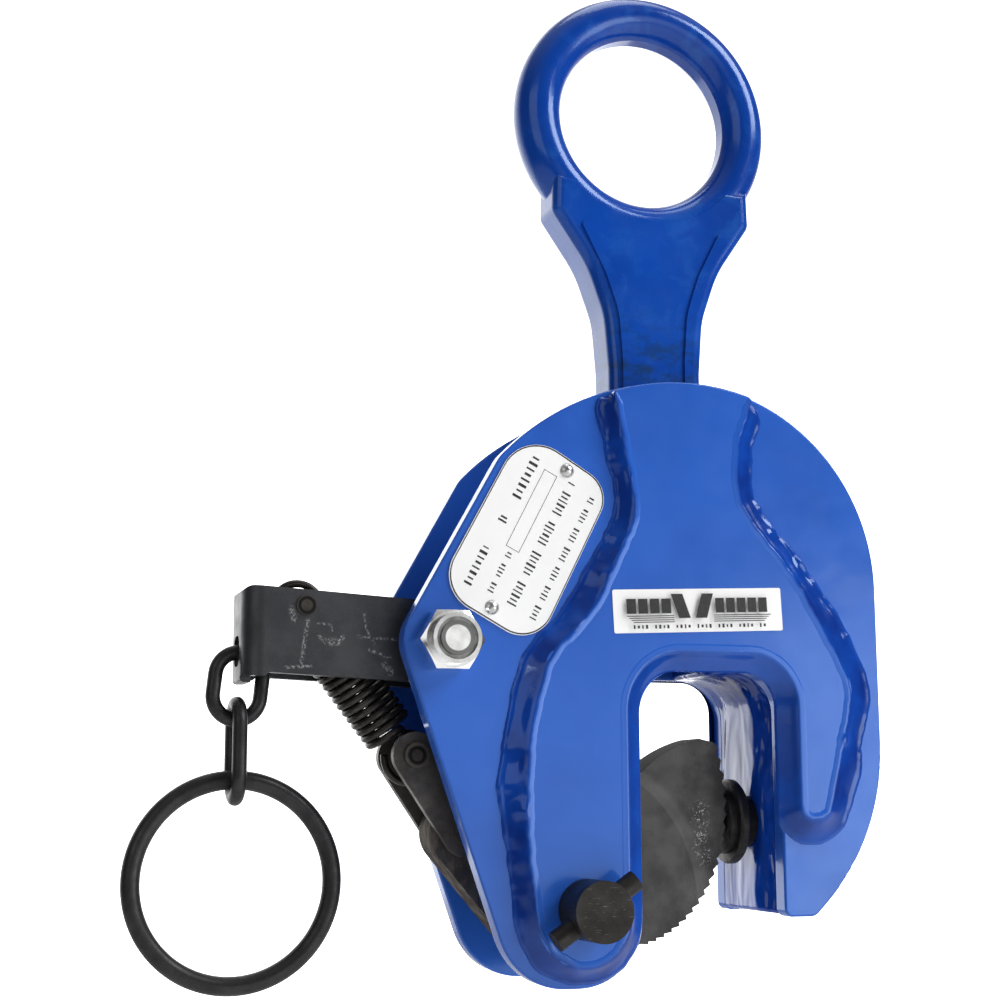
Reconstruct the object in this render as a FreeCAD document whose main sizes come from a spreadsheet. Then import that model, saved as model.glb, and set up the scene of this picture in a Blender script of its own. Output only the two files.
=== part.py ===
"""Vertical plate lifting clamp, 2 tonne class, as a parametric FreeCAD document.

Frame: origin at the centre of the lifting eye, +Z up, the front side plate faces -Y,
the jaw mouth opens downwards.  Everything is in millimetres.  The parts stand in the
closed position: the toothed cam rests against the swivel pad.
"""
import FreeCAD, Part
import Sketcher
import math
import os
from FreeCAD import Placement, Rotation, Vector

doc = FreeCAD.newDocument("plate_lifting_clamp")
sheet = doc.addObject("Spreadsheet::Sheet", "dims")

DIMENSIONS = [
    # plates, all stacked along Y and mirrored about Y = 0
    ("inner_half_gap", 18.5),
    ("side_thickness", 6.5),
    ("cover_thickness", 5.0),
    ("plate_rounding", 0.7),
    ("bead_height", 3.2),
    # pivots in the XZ plane
    ("cam_pin_x", -33.0),
    ("cam_pin_z", -254.4),
    ("bolt_x", -74.3),
    ("bolt_z", -176.9),
    ("shackle_pin_x", 1.2),
    ("shackle_pin_z", -119.0),
    ("horn_reach", 37.8),
    ("horn_angle", 144.8),
    ("crank_reach", 18.0),
    ("crank_angle", 120.0),
    ("spring_pin_x", -113.4),
    ("spring_pin_z", -166.1),
    ("toggle_pin_x", -79.4),
    ("toggle_pin_z", -209.7),
    ("pad_z", -229.7),
    # jaw mouth
    ("mouth_left", -13.4),
    ("mouth_right", 33.2),
    ("mouth_top", -184.0),
    # round pieces
    ("cam_pin_radius", 8.0),
    ("cam_cap_radius", 8.8),
    ("cam_cap_length", 15.0),
    ("cam_pin_tail", 35.5),
    ("retaining_ring_radius", 12.0),
    ("retaining_ring_thickness", 4.0),
    ("cross_pin_radius", 3.15),
    ("cross_pin_length", 30.0),
    ("cross_pin_angle", 34.3),
    ("nut_across_flats", 17.0),
    ("nut_height", 8.5),
    ("nut_collar_height", 4.2),
    ("spacer_radius", 9.0),
    ("bolt_radius", 6.0),
    ("bolt_thread_radius", 5.0),
    ("shackle_pin_radius", 6.0),
    ("crank_pin_radius", 4.0),
        ("link_slot_half", 1.4),
    ("small_pin_radius", 3.0),
    ("running_fit", 0.08),
    # shackle
    ("eye_radius", 29.1),
    ("ring_mean_radius", 36.4),
    ("ring_half_width", 7.6),
    ("ring_half_depth", 8.8),
    ("shank_half_depth", 9.0),
    ("shank_rounding", 3.6),
    ("shackle_eye_half_depth", 7.5),
    # cam and links
    ("cam_half_thickness", 7.3),
    ("cam_link_inner", 7.9),
    ("cam_link_thickness", 5.5),
    ("toggle_inner", 8.0),
    ("toggle_thickness", 3.0),
    ("toggle_radius", 7.0),
    # lever
    ("lever_half_width", 12.5),
    ("lever_thickness", 3.2),
    # spring
    ("spring_radius", 8.5),
    ("wire_radius", 1.2),
    # swivel pad
    ("pad_face_x", 22.75),
    ("pad_radius", 13.2),
    ("pad_shaft_radius", 5.0),
    # chain
    ("chain_wire_radius", 2.2),
    ("chain_half_width", 9.25),
    ("pull_ring_mean_radius", 29.4),
    ("pull_ring_wire_radius", 2.8),
]
for row, (alias, value) in enumerate(DIMENSIONS, 1):
    sheet.set(f"A{row}", alias)
    sheet.set(f"B{row}", str(value))
    sheet.setAlias(f"B{row}", alias)
doc.recompute()

PARTS = []


def size(alias):
    """Value of one driving dimension."""
    return float(sheet.get(alias))


def keep(obj, label):
    """Register a finished sub-part under its node name."""
    obj.Label = label
    PARTS.append(obj)
    return obj


def bind(obj, **expressions):
    for name, expression in expressions.items():
        obj.setExpression(name, expression)


def polar(centre, reach, degrees):
    angle = math.radians(degrees)
    return centre[0] + reach * math.cos(angle), centre[1] + reach * math.sin(angle)


CAM_PIN = (size("cam_pin_x"), size("cam_pin_z"))
BOLT = (size("bolt_x"), size("bolt_z"))
SHACKLE_PIN = (size("shackle_pin_x"), size("shackle_pin_z"))
HORN_PIN = polar(CAM_PIN, size("horn_reach"), size("horn_angle"))
CRANK_PIN = polar(CAM_PIN, size("crank_reach"), size("crank_angle"))
SPRING_PIN = (size("spring_pin_x"), size("spring_pin_z"))
TOGGLE_PIN = (size("toggle_pin_x"), size("toggle_pin_z"))


# ---------------------------------------------------------------- outlines
def rounded(corners):
    """Closed outline of straight runs; each corner (x, z, radius) is a tangent arc."""
    count = len(corners)
    points = []
    for i, (x, z, radius) in enumerate(corners):
        here = Vector(x, z, 0)
        before = Vector(*corners[i - 1][:2], 0)
        after = Vector(*corners[(i + 1) % count][:2], 0)
        to_before = (before - here).normalize()
        to_after = (after - here).normalize()
        half = to_before.getAngle(to_after) / 2
        if radius <= 0:
            points.append((here, None, here))
            continue
        run = radius / math.tan(half)
        middle = (to_before + to_after).normalize()
        reach = radius / math.sin(half) - radius
        points.append((here + to_before * run, here + middle * reach, here + to_after * run))
    edges = []
    for i, (start, middle, end) in enumerate(points):
        if middle is not None:
            edges.append(Part.Arc(start, middle, end))
        following = points[(i + 1) % count][0]
        if (following - end).Length > 1e-4:
            edges.append(Part.LineSegment(end, following))
    return edges


def link_outline(first, first_radius, second, second_radius):
    """Two round ends joined by their outer tangents."""
    a = Vector(*first, 0)
    b = Vector(*second, 0)
    along = (b - a).normalize()
    side = Vector(-along.y, along.x, 0)
    lean = math.asin((first_radius - second_radius) / (b - a).Length)
    left = along * math.sin(lean) + side * math.cos(lean)
    right = along * math.sin(lean) - side * math.cos(lean)
    return [
        Part.Arc(a + left * first_radius, a - along * first_radius, a + right * first_radius),
        Part.LineSegment(a + right * first_radius, b + right * second_radius),
        Part.Arc(b + right * second_radius, b + along * second_radius, b + left * second_radius),
        Part.LineSegment(b + left * second_radius, a + left * first_radius),
    ]


def turned_rectangle(centre, half_length, half_width, degrees, radius):
    """Rectangle with rounded corners, its long axis at an angle to +X."""
    angle = math.radians(degrees)
    along = (math.cos(angle), math.sin(angle))
    corners = []
    for u, v in ((1, 1), (-1, 1), (-1, -1), (1, -1)):
        x = centre[0] + u * half_length * along[0] - v * half_width * along[1]
        z = centre[1] + u * half_length * along[1] + v * half_width * along[0]
        corners.append((x, z, radius))
    return rounded(corners)


# ---------------------------------------------------------------- features
def plane_of(body, role):
    for feature in body.Origin.OriginFeatures:
        if feature.Role == role:
            return feature
    raise ValueError(role)


def sketch_on(body, name, role, edges, offset=None):
    """Sketch on one of the body's own origin planes.  On XZ its normal is -Y."""
    sketch = body.newObject("Sketcher::SketchObject", name)
    sketch.AttachmentSupport = [(plane_of(body, role), "")]
    sketch.MapMode = "FlatFace"
    sketch.addGeometry(edges, False)
    if offset:
        sketch.setExpression("AttachmentOffset.Base.z", offset)
    return sketch


def slab(label, edges, rear, thickness, holes=()):
    """Flat piece: an XZ outline padded towards -Y from `rear`, with round holes.

    rear and thickness are spreadsheet expressions; a hole is (x, z, radius expression).
    """
    body = doc.addObject("PartDesign::Body", label + "_body")
    profile = sketch_on(body, label + "_profile", "XZ_Plane", edges, rear)
    pad = body.newObject("PartDesign::Pad", label + "_pad")
    pad.Profile = profile
    bind(pad, Length=thickness)
    if holes:
        circles = body.newObject("Sketcher::SketchObject", label + "_holes")
        circles.AttachmentSupport = [(plane_of(body, "XZ_Plane"), "")]
        circles.MapMode = "FlatFace"
        circles.setExpression("AttachmentOffset.Base.z", f"{rear} + {thickness}")
        for index, (x, z, radius) in enumerate(holes):
            circles.addGeometry(Part.Circle(Vector(x, z, 0), Vector(0, 0, 1), 1.0), False)
            datum = circles.addConstraint(Sketcher.Constraint("Radius", index, 1.0))
            circles.setExpression(f"Constraints[{datum}]", radius)
        pocket = body.newObject("PartDesign::Pocket", label + "_pocket")
        pocket.Profile = circles
        bind(pocket, Length=f"{thickness} + 1")
    return body


def fillet_flat_faces(body, radius):
    """Round the outlines of the two flat faces of a slab."""
    doc.recompute()
    base = body.Tip
    flats = []
    for index, shape_face in enumerate(base.Shape.Faces, 1):
        if abs(shape_face.normalAt(0, 0).y) > 0.99:
            flats.append(f"Face{index}")
    rounding = body.newObject("PartDesign::Fillet", body.Name + "_rounding")
    rounding.Base = (base, flats)
    bind(rounding, Radius=radius)
    body.Tip = rounding
    return body


def rod(label, centre, front, rear, radius):
    """Round pin along Y between two expressions for its ends."""
    pin = doc.addObject("Part::Cylinder", label)
    pin.Placement = Placement(Vector(centre[0], 0, centre[1]), Rotation(Vector(1, 0, 0), -90))
    bind(pin, Radius=radius, Height=f"{rear} - ({front})")
    pin.setExpression("Placement.Base.y", front)
    return pin


def fuse(label, *pieces):
    joined = doc.addObject("Part::MultiFuse", label)
    joined.Shapes = list(pieces)
    return joined


def cut(label, base, tool):
    result = doc.addObject("Part::Cut", label)
    result.Base = base
    result.Tool = tool
    return result


def common(label, base, tool):
    result = doc.addObject("Part::Common", label)
    result.Base = base
    result.Tool = tool
    return result


# ---------------------------------------------------------------- side plates
def side_plate_corners():
    left = size("mouth_left")
    right = size("mouth_right")
    top = size("mouth_top")
    return [
        (-31.6, -93.7, 84.0),
        (68.0, -93.7, 63.0),
        (68.0, -234.5, 68.0),
        (43.5, -258.3, 4.0),
        (right, -258.3, 2.5),
        (right, top, 13.0),
        (left, top, 13.5),
        (left, -277.3, 20.2),
        (-52.9, -277.3, 21.2),
        (-88.3, -175.5, 12.8),
        (-57.5, -120.6, 12.0),
    ]


def cover_corners():
    """Reinforcing plate: down the mouth leg, round the mouth and into a short finger."""
    return [
        (-22.4, -99.0, 1.5),
        (1.0, -91.6, 74.0),
        (24.6, -98.2, 1.5),
        (19.0, -115.0, 25.0),
        (18.6, -132.0, 14.0),
        (37.5, -154.5, 60.0),
        (56.6, -188.0, 10.0),
        (46.6, -229.4, 4.4),
        (37.2, -229.4, 4.0),
        (37.2, -178.6, 16.0),
        (-19.3, -178.6, 18.0),
        (-19.3, -271.4, 14.0),
        (-46.5, -271.4, 15.0),
        (-51.6, -234.0, 60.0),
        (-50.6, -203.0, 40.0),
        (-44.6, -180.8, 9.0),
        (-30.5, -167.5, 12.0),
        (-15.4, -137.0, 14.0),
    ]


PLATE_HOLES = [
    (*BOLT, "dims.bolt_radius"),
    (*CAM_PIN, "dims.cam_pin_radius"),
]
SIDES = (("front", 1), ("rear", -1))

for side, sign in SIDES:
    near = "dims.inner_half_gap" if sign > 0 else "-dims.inner_half_gap - dims.side_thickness"
    plate = slab(side + "_side_plate", rounded(side_plate_corners()), near,
                 "dims.side_thickness", PLATE_HOLES)
    keep(fillet_flat_faces(plate, "dims.plate_rounding"), side + "_side_plate")
    if sign > 0:
        near = "dims.inner_half_gap + dims.side_thickness"
    else:
        near = "-dims.inner_half_gap - dims.side_thickness - dims.cover_thickness"
    cover = slab(side + "_reinforcing_plate", rounded(cover_corners()), near,
                 "dims.cover_thickness", PLATE_HOLES[1:])
    keep(fillet_flat_faces(cover, "dims.plate_rounding"), side + "_reinforcing_plate")


# ---------------------------------------------------------------- weld beads
# The outer toe of the weld, then the mouth edge, which the weld fills as well.
BEAD_TOES = [
    (-27.0, -96.0, 1.0),
    (-22.0, -117.0, 30.0),
    (-19.9, -134.5, 25.0),
    (-35.2, -162.0, 30.0),
    (-51.0, -184.0, 30.0),
    (-59.0, -212.0, 50.0),
    (-56.0, -244.0, 60.0),
    (-55.5, -268.0, 12.0),
    (-38.0, -276.5, 4.0),
    (-5.0, -276.5, 0.0),
    (-5.0, -238.0, 0.0),
    (50.0, -238.0, 7.0),
    (60.5, -214.0, 30.0),
    (65.2, -186.0, 12.0),
    (55.0, -162.0, 30.0),
    (34.0, -142.0, 30.0),
    (25.3, -128.0, 14.0),
    (26.0, -118.0, 20.0),
    (31.0, -97.0, 1.0),
    (12.0, -104.0, 0.0),
    (-8.0, -104.0, 0.0),
]

for side, sign in SIDES:
    if sign > 0:
        near = "dims.inner_half_gap + dims.side_thickness"
    else:
        near = "-dims.inner_half_gap - dims.side_thickness - dims.bead_height"
    toes = slab(side + "_toe_slab", rounded(BEAD_TOES), near, "dims.bead_height")
    on_plate = slab(side + "_bead_limit", rounded(side_plate_corners()), near,
                    "dims.bead_height")
    under_cover = slab(side + "_bead_core", rounded(cover_corners()), near,
                       "dims.bead_height")
    strip = common(side + "_bead_strip", toes, on_plate)
    keep(cut(side + "_beads", strip, under_cover), side + "_weld_beads")


# ---------------------------------------------------------------- jaw block
def bar_along_x(label, z, start, end, radius):
    """Round bar along +X at height z, between two expressions."""
    bar = doc.addObject("Part::Cylinder", label)
    bar.Placement = Placement(Vector(0, 0, 0), Rotation(Vector(0, 1, 0), 90))
    bind(bar, Radius=radius, Height=f"{end} - ({start})")
    bar.setExpression("Placement.Base.x", start)
    bar.setExpression("Placement.Base.z", z)
    return bar


jaw_corners = [
    (size("mouth_right"), -257.6, 1.5),
    (size("mouth_right"), size("mouth_top"), 13.0),
    (16.0, size("mouth_top"), 1.5),
    (16.0, -171.0, 2.0),
    (44.0, -166.0, 8.0),
    (48.0, -126.0, 3.0),
    (54.5, -124.0, 4.0),
    (66.0, -150.0, 40.0),
    (66.0, -234.0, 60.0),
    (42.5, -257.6, 3.0),
]
PAD_PIN = (45.7, size("pad_z") + 5.2)
jaw_blank = slab("jaw_blank", rounded(jaw_corners), "-dims.inner_half_gap",
                 "2 * dims.inner_half_gap")
pad_bore = bar_along_x("pad_bore", "dims.pad_z", "dims.mouth_right - 2", "55",
                       "dims.pad_shaft_radius + dims.running_fit")
pin_bore = rod("pad_pin_bore", PAD_PIN, "-dims.inner_half_gap", "dims.inner_half_gap", "2")
keep(cut("jaw", jaw_blank, fuse("jaw_bores", pad_bore, pin_bore)), "jaw_block")
keep(rod("pad_pin", PAD_PIN, "-dims.inner_half_gap", "dims.inner_half_gap", "2"),
     "pad_retaining_pin")

# swivel pad, turned about the X axis through the pad height
pad_body = doc.addObject("PartDesign::Body", "swivel_pad_body")
face = size("pad_face_x")
flange = size("pad_radius")
shaft = size("pad_shaft_radius")
turned = [
    (face, 0), (face, 3.0), (face + 0.8, 3.6), (face + 0.8, 6.4), (face, 7.0), (face, 9.6),
    (face + 0.5, 10.1), (25.0, 10.1), (25.0, flange - 0.6), (25.6, flange), (27.6, flange),
    (28.2, flange - 0.6), (28.2, 8.0), (32.8, 8.0), (32.8, shaft), (43.4, shaft),
    (43.4, 3.0), (48.0, 3.0), (48.0, shaft), (53.4, shaft), (54.0, shaft - 0.6), (54.0, 0),
]
lines = []
for i, (x, r) in enumerate(turned):
    following = turned[(i + 1) % len(turned)]
    lines.append(Part.LineSegment(Vector(x, r, 0), Vector(*following, 0)))
half = sketch_on(pad_body, "swivel_pad_profile", "XZ_Plane", lines)
half.setExpression("AttachmentOffset.Base.y", "dims.pad_z")
spin = pad_body.newObject("PartDesign::Revolution", "swivel_pad_turned")
spin.Profile = half
spin.ReferenceAxis = (half, ["H_Axis"])
keep(pad_body, "swivel_pad")


# ---------------------------------------------------------------- bolt, nut, spacers
FACE = "dims.inner_half_gap + dims.side_thickness"


def hexagon(label, centre, front, height, chamfer_face):
    """Hexagonal head or nut along Y with its corners turned down at one face."""
    prism = doc.addObject("Part::Prism", label + "_prism")
    prism.Polygon = 6
    turn = Rotation(Vector(1, 0, 0), -90)
    prism.Placement = Placement(Vector(centre[0], 0, centre[1]), turn)
    bind(prism, Circumradius="dims.nut_across_flats / 2 / cos(30)", Height=height)
    prism.setExpression("Placement.Base.y", front)
    cone = doc.addObject("Part::Cone", label + "_cone")
    cone.Placement = Placement(Vector(centre[0], 0, centre[1]), Rotation(Vector(1, 0, 0), -90))
    narrow = "dims.nut_across_flats / 2 - 0.3"
    wide = f"{narrow} + ({height}) * 1.6"
    if chamfer_face == "front":
        bind(cone, Radius1=narrow, Radius2=wide, Height=height)
    else:
        bind(cone, Radius1=wide, Radius2=narrow, Height=height)
    cone.setExpression("Placement.Base.y", front)
    return common(label, prism, cone)


def ring_slab(label, centre, front, rear, outer, inner):
    body = rod(label + "_outer", centre, front, rear, outer)
    hole = rod(label + "_inner", centre, front, rear, inner)
    return cut(label, body, hole)


bolt_shank = fuse("bolt_stem", rod("bolt_shank", BOLT, f"-({FACE})", FACE, "dims.bolt_radius"),
                  rod("bolt_thread", BOLT, f"-({FACE}) - 12.9", FACE, "dims.bolt_thread_radius"))
bolt_head = hexagon("bolt_head", BOLT, FACE, "7.5", "rear")
keep(fuse("bolt", bolt_shank, bolt_head), "lever_bolt")

nut_hex = hexagon("nut_hex", BOLT, f"-({FACE}) - dims.nut_height", "dims.nut_height", "front")
nut_collar = rod("nut_collar", BOLT,
                 f"-({FACE}) - dims.nut_height - dims.nut_collar_height",
                 f"-({FACE}) - dims.nut_height", "7.3")
nut_bore = rod("nut_bore", BOLT, f"-({FACE}) - 12", f"-({FACE})", "dims.bolt_thread_radius")
insert_seat = rod("insert_seat", BOLT,
                  f"-({FACE}) - dims.nut_height - dims.nut_collar_height",
                  f"-({FACE}) - dims.nut_height", "6.2")
keep(cut("nut", fuse("nut_solid", nut_hex, nut_collar), fuse("nut_space", nut_bore, insert_seat)),
     "lever_nut")
keep(ring_slab("insert", BOLT, f"-({FACE}) - dims.nut_height - 3.2",
               f"-({FACE}) - dims.nut_height", "6.2",
               "dims.bolt_thread_radius"), "nut_insert")

for side, sign in SIDES:
    low = "dims.lever_half_width + 0.3"
    high = "dims.inner_half_gap"
    ends = (f"-({high})", f"-({low})") if sign > 0 else (low, high)
    keep(ring_slab(side + "_spacer", BOLT, *ends, "dims.spacer_radius", "dims.bolt_radius"),
         side + "_lever_spacer")
inside = "dims.lever_half_width - dims.lever_thickness - 0.3"
keep(ring_slab("centre_sleeve", BOLT, f"-({inside})", inside, "8", "dims.bolt_radius"),
     "centre_spacer_sleeve")


# ---------------------------------------------------------------- cam pin
COVER = "dims.inner_half_gap + dims.side_thickness + dims.cover_thickness"
CROSS_AT = "-(dims.inner_half_gap + dims.side_thickness + dims.cover_thickness) - 7.5"


def bar_across(label, radius, length):
    """Round bar across the front of the cam pin, rising to the right."""
    bar = doc.addObject("Part::Cylinder", label)
    lift = math.radians(size("cross_pin_angle"))
    along = Vector(math.cos(lift), 0, math.sin(lift))
    reach = size("cross_pin_length") / 2
    start = Vector(CAM_PIN[0], 0, CAM_PIN[1]) - along * reach
    bar.Placement = Placement(start, Rotation(Vector(0, 0, 1), along))
    bind(bar, Radius=radius, Height=length)
    bar.setExpression("Placement.Base.y", CROSS_AT)
    return bar


pin_shank = rod("pin_shank", CAM_PIN, f"-({COVER})", "dims.cam_pin_tail", "dims.cam_pin_radius")
pin_cap = rod("pin_cap", CAM_PIN, f"-({COVER}) - dims.cam_cap_length", f"-({COVER})",
              "dims.cam_cap_radius")
cross_bore = bar_across("cross_bore", "dims.cross_pin_radius", "dims.cross_pin_length")
keep(cut("pin", fuse("pin_solid", pin_shank, pin_cap), cross_bore), "cam_pin")
keep(bar_across("cross_pin", "dims.cross_pin_radius", "dims.cross_pin_length"), "cam_cross_pin")
keep(ring_slab("pin_ring", CAM_PIN, COVER, f"{COVER} + dims.retaining_ring_thickness",
               "dims.retaining_ring_radius", "dims.cam_pin_radius"), "cam_pin_retaining_ring")


# ---------------------------------------------------------------- plates with markings
nameplate = slab("nameplate_body", rounded([
    (-50.0, -111.5, 12.5),
    (-21.6, -128.9, 9.0),
    (-46.6, -178.6, 10.5),
    (-77.4, -161.4, 11.0),
]), FACE, "0.6")
keep(nameplate, "nameplate")
rivets = []
for index, centre in enumerate(((-36.2, -124.0), (-60.3, -166.5))):
    rivet = doc.addObject("Part::Sphere", f"rivet_{index}")
    rivet.Placement = Placement(Vector(centre[0], 0, centre[1]), Rotation(Vector(1, 0, 0), 90))
    bind(rivet, Radius="2.6", Angle1="30")
    rivet.setExpression("Placement.Base.y", f"-({FACE}) + 0.7")
    rivets.append(rivet)
keep(fuse("rivets", *rivets), "nameplate_rivets")
keep(slab("front_label_body", turned_rectangle((4.3, -166.0), 27.9, 6.6, 2.4, 0.6), COVER, "0.25"),
     "front_label")


# ---------------------------------------------------------------- lifting shackle
EYE = "dims.eye_radius"
ring_body = doc.addObject("PartDesign::Body", "shackle_ring_body")
section = Part.Ellipse(Vector(size("ring_mean_radius"), size("ring_half_depth"), 0),
                       Vector(size("ring_mean_radius") + size("ring_half_width"), 0, 0),
                       Vector(size("ring_mean_radius"), 0, 0))
ring_profile = sketch_on(ring_body, "shackle_ring_profile", "XY_Plane", [section])
ring_turned = ring_body.newObject("PartDesign::Revolution", "shackle_ring_turned")
ring_turned.Profile = ring_profile
ring_turned.ReferenceAxis = (ring_profile, ["V_Axis"])

centre_x = size("shackle_pin_x")
half_outline = [
    (34.3, -22.0, 0.0),
    (34.6, -34.5, 4.0),
    (23.0, -51.5, 40.0),
    (17.2, -68.0, 30.0),
    (15.8, -86.0, 30.0),
    (15.8, -108.0, 5.0),
    (11.2, -113.0, 4.0),
    (11.2, -130.2, 10.8),
]
shank_corners = [(centre_x + x, z, r) for x, z, r in half_outline]
shank_corners += [(centre_x - x, z, r) for x, z, r in reversed(half_outline)]
shank = slab("shank", rounded(shank_corners), "-dims.shank_half_depth",
             "2 * dims.shank_half_depth")
doc.recompute()


fillet_flat_faces(shank, "dims.shank_rounding")

ribs = []
for side, sign in (("right", 1), ("left", -1)):
    band = [(26.0, -38.5, 1.0), (17.6, -55.0, 30.0), (13.2, -68.0, 30.0), (12.2, -84.0, 30.0),
            (12.2, -101.0, 0.8), (9.2, -101.0, 0.8), (9.2, -83.0, 30.0), (10.4, -67.0, 30.0),
            (14.8, -53.6, 30.0), (22.5, -38.5, 1.0)]
    outline = [(centre_x + sign * x, z, r) for x, z, r in band]
    ribs.append(slab(side + "_rib", rounded(outline), "-dims.shank_half_depth - 0.8",
                     "2 * dims.shank_half_depth + 1.6"))

eye_gap = rod("eye_gap", (0, 0), "-20", "20", "dims.ring_mean_radius")
eye_bore = rod("eye_bore", (0, 0), "-20", "20", EYE)
shackle_hole = rod("shackle_hole", SHACKLE_PIN, "-20", "20", "dims.shackle_pin_radius")
end_front = slab("end_front", rounded([(-30, -104.5, 0), (34, -104.5, 0), (34, -140, 0),
                                       (-30, -140, 0)]), "dims.shackle_eye_half_depth", "5")
end_rear = slab("end_rear", rounded([(-30, -104.5, 0), (34, -104.5, 0), (34, -140, 0),
                                     (-30, -140, 0)]), "-dims.shackle_eye_half_depth - 5", "5")
shank_all = fuse("shank_all", shank, *ribs)
shank_cut = cut("shank_cut", shank_all, fuse("shank_space", eye_gap, shackle_hole, end_front,
                                             end_rear))
keep(cut("shackle", fuse("shackle_solid", ring_body, shank_cut), eye_bore), "lifting_shackle")

LINK_FACE = "dims.cam_link_inner + dims.cam_link_thickness"
keep(rod("shackle_pin_rod", SHACKLE_PIN, f"-({LINK_FACE}) - 3", f"{LINK_FACE} + 3",
         "dims.shackle_pin_radius"), "shackle_pin")

# two plates from the shackle down to the cam; the upper hole is a slot across the link
link_run = Vector(SHACKLE_PIN[0] - CRANK_PIN[0], SHACKLE_PIN[1] - CRANK_PIN[1], 0).normalize()
link_side = Vector(link_run.y, -link_run.x, 0)
slot_half = size("link_slot_half")
slot_radius = size("shackle_pin_radius") + 0.75
slot_mid = Vector(*SHACKLE_PIN, 0) + link_side * slot_half - link_run * 0.27
SLOT_ENDS = [(end.x, end.y) for end in (slot_mid - link_side * slot_half,
                                        slot_mid + link_side * slot_half)]
for side, sign in SIDES:
    near = "dims.cam_link_inner" if sign > 0 else "-dims.cam_link_inner - dims.cam_link_thickness"
    blank = slab(side + "_link_blank",
                 link_outline((slot_mid.x, slot_mid.y), 11.2, CRANK_PIN, 7.3), near,
                 "dims.cam_link_thickness")
    slot = slab(side + "_link_slot",
                link_outline(SLOT_ENDS[0], slot_radius + 0.001, SLOT_ENDS[1], slot_radius),
                near, "dims.cam_link_thickness")
    hole = rod(side + "_link_hole", CRANK_PIN, "-20", "20",
               "dims.crank_pin_radius + dims.running_fit")
    keep(cut(side + "_link", blank, fuse(side + "_link_space", slot, hole)),
         side + "_shackle_link")


# ---------------------------------------------------------------- toothed cam
def cam_radius(degrees):
    return 45.8 + 0.63 * degrees - 0.00054 * degrees ** 2


def cam_outline():
    """Spiral working edge cut into teeth, then the top edge, hub and lower edge."""
    tooth_depth = 1.3
    tooth_count = 21
    first, last = -25.0, 44.0
    points = []
    for step in range(2 * tooth_count + 1):
        degrees = first + (last - first) * step / (2 * tooth_count)
        depth = 0.0 if step % 2 else tooth_depth
        points.append(polar(CAM_PIN, cam_radius(degrees) - depth, degrees))
    edges = [Part.LineSegment(Vector(*a, 0), Vector(*b, 0))
             for a, b in zip(points, points[1:])]
    start = Vector(*points[0], 0)
    end = Vector(*points[-1], 0)
    crest = Vector(13.5, -203.9, 0)
    hollow_end = Vector(-7.5, -215.8, 0)
    hub_top = Vector(*polar(CAM_PIN, 27.5, 115), 0)
    hub_left = Vector(*polar(CAM_PIN, 19.5, 180), 0)
    hub_low = Vector(*polar(CAM_PIN, 19.5, 285), 0)
    edges += [
        Part.LineSegment(end, crest),
        Part.Arc(crest, Vector(2.6, -208.2, 0), hollow_end),
        Part.LineSegment(hollow_end, hub_top),
        Part.Arc(hub_top, hub_left, hub_low),
        Part.LineSegment(hub_low, start),
    ]
    return edges


CAM_HOLES = [
    (*CAM_PIN, "dims.cam_pin_radius + dims.running_fit"),
    (*CRANK_PIN, "dims.crank_pin_radius"),
]
cam_plate = slab("cam_plate", cam_outline(), "-dims.cam_half_thickness",
                 "2 * dims.cam_half_thickness", CAM_HOLES)
cam_horn = slab("cam_horn", link_outline(HORN_PIN, 10.1, CAM_PIN, 19.4),
                "-6", "12", CAM_HOLES + [(*HORN_PIN, "dims.small_pin_radius")])
keep(fuse("cam", cam_plate, cam_horn), "toothed_cam")
keep(rod("crank_rod", CRANK_PIN, f"-({LINK_FACE}) - 1.5", f"{LINK_FACE} + 1.5",
         "dims.crank_pin_radius"), "cam_link_pin")


# ---------------------------------------------------------------- toggle links
TOGGLE_FACE = "dims.toggle_inner + dims.toggle_thickness"
for side, sign in SIDES:
    near = "dims.toggle_inner" if sign > 0 else "-dims.toggle_inner - dims.toggle_thickness"
    link = slab(side + "_toggle", link_outline(TOGGLE_PIN, 7.0, HORN_PIN, 7.001), near,
                "dims.toggle_thickness",
                [(*TOGGLE_PIN, "dims.small_pin_radius"),
                 (*HORN_PIN, "dims.small_pin_radius + dims.running_fit")])
    keep(link, side + "_toggle_link")


def headed_pin(label, centre, face_expression):
    """Small pin with a riveted head at each end."""
    pin = rod(label + "_rod", centre, f"-({face_expression}) - 0.6", f"{face_expression} + 0.6",
              "dims.small_pin_radius")
    front = rod(label + "_front", centre, f"-({face_expression}) - 1.5",
                f"-({face_expression}) - 0.3", "dims.small_pin_radius + 0.8")
    rear = rod(label + "_rear", centre, f"{face_expression} + 0.3",
               f"{face_expression} + 1.5", "dims.small_pin_radius + 0.8")
    return fuse(label, pin, front, rear)


keep(headed_pin("toggle_lower", HORN_PIN, TOGGLE_FACE), "toggle_lower_pin")
keep(headed_pin("toggle_upper", TOGGLE_PIN, TOGGLE_FACE), "toggle_upper_pin")


# ---------------------------------------------------------------- lock lever
LEVER_LEFT = -131.8
lever_side = slab("lever_side", rounded([
    (LEVER_LEFT - 0.5, -160.2, 3.4),
    (BOLT[0] + 12.3, -164.4, 12.1),
    (BOLT[0] + 12.3, -188.9, 12.1),
    (-124.0, -185.9, 1.5),
    (-127.0, -188.5, 1.5),
    (LEVER_LEFT - 0.5, -188.6, 2.0),
]), "-20", "40", [(*BOLT, "dims.bolt_radius + dims.running_fit"),
                  (*SPRING_PIN, "dims.small_pin_radius")])

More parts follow.
